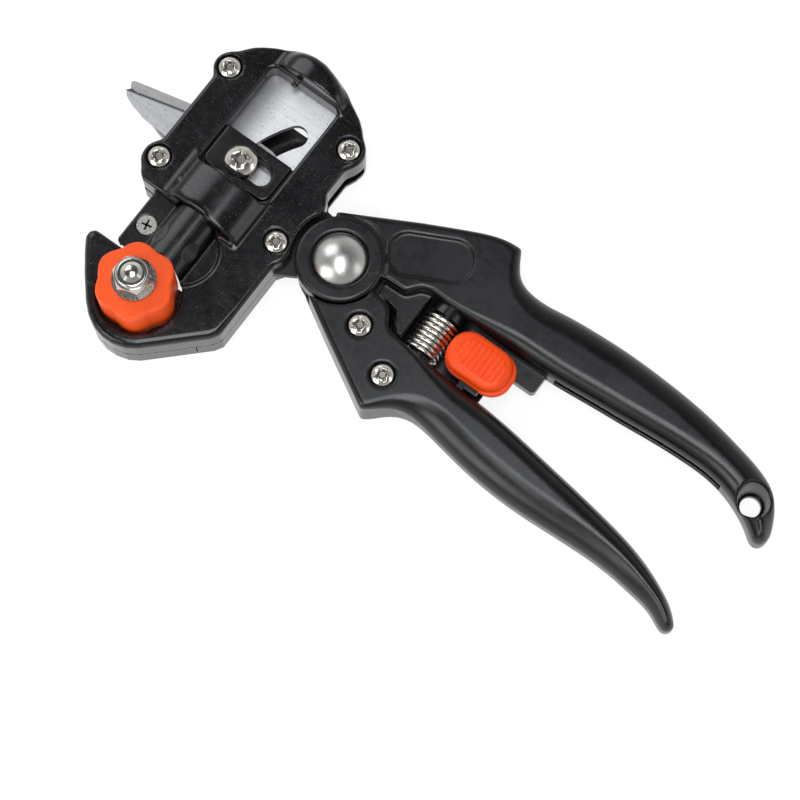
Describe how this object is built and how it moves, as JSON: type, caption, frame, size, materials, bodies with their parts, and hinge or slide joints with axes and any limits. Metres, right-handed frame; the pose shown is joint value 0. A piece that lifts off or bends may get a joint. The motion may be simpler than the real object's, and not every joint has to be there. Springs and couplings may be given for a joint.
{
  "type": "grafting knife",
  "caption": "Hand grafting pruner: two-handled bypass blade with a lever-driven omega cutter sliding in a housing onto a round orange anvil, spring return and thumb lock.",
  "frame": {"origin": "centre of the bounding box in plan, on the back plane the tool rests on", "axes": "+X runs along the tool to the handle ends, +Y away from the anvil across the head, +Z out of the front face"},
  "size_m": [0.223, 0.1004, 0.0341],
  "materials": {
    "housing_black": "satin, fine speckle",
    "handle_black": "matt, fine grain",
    "slider_black": "satin",
    "plate_steel": "brushed along the length",
    "blade_steel": "brushed, ground edge",
    "cutter_steel": "dark hardened strip",
    "dark_steel": "blackened",
    "nickel_screws": "nickel plated",
    "countersunk_screws": "dull nickel",
    "pivot_nickel": "polished dome",
    "zinc_steel": "bright zinc",
    "bronze_washer": "dull",
    "spring_steel": "bright wire",
    "orange_anvil": "satin",
    "orange_button": "glossy, ribbed",
    "nylon_ring": "matt"
  },
  "bodies": {
    "frame": {"front_cover": "housing_black", "back_cover": "housing_black", "frame_plate": "plate_steel", "cover_screws": "nickel_screws", "plate_screw": "nickel_screws", "cover_nuts": "zinc_steel", "anvil_bolt": "zinc_steel", "anvil_washer": "zinc_steel", "anvil_nut": "zinc_steel", "nut_ring": "nylon_ring", "upper_handle": "handle_black", "pivot_bolt": "pivot_nickel", "pivot_nut": "zinc_steel", "pivot_washer": "bronze_washer", "return_spring": "spring_steel", "spring_seat": "slider_black", "spring_guard": "slider_black", "lock_rail": "slider_black"},
    "lever": {"lever_plate": "blade_steel", "lower_handle": "handle_black", "handle_screws": "nickel_screws", "handle_nuts": "zinc_steel", "drive_screw": "nickel_screws", "drive_bush": "dark_steel", "drive_nut": "zinc_steel"},
    "carriage": {"slider": "slider_black", "omega_blade": "cutter_steel", "blade_clamp": "dark_steel", "blade_screws": "countersunk_screws"},
    "anvil": {"anvil_wheel": "orange_anvil"},
    "lock": {"lock_button": "orange_button", "lock_tongue": "dark_steel", "lock_rivet": "dark_steel"}
  },
  "joints": [
    {"name": "lever_pivot", "type": "hinge", "parent": "frame", "child": "lever", "pos_m": [-0.0296, 0.0067, 0.0053], "axis": [0, 0, -1], "range_deg": [0, 25], "deforming": ["return_spring"]},
    {"name": "carriage_slide", "type": "slide", "parent": "frame", "child": "carriage", "axis": [0, 1, 0], "range_m": [0, 0.0164]},
    {"name": "anvil_turn", "type": "hinge", "parent": "frame", "child": "anvil", "pos_m": [-0.069, -0.0342, 0.0177], "axis": [0, 0, 1], "continuous": true},
    {"name": "lock_slide", "type": "slide", "parent": "frame", "child": "lock", "axis": [1, 0, 0], "range_m": [0, 0.004]}
  ],
  "couplings": [
    {"joint": "carriage_slide", "follows": "lever_pivot", "m_per_rad": 0.03748}
  ]
}
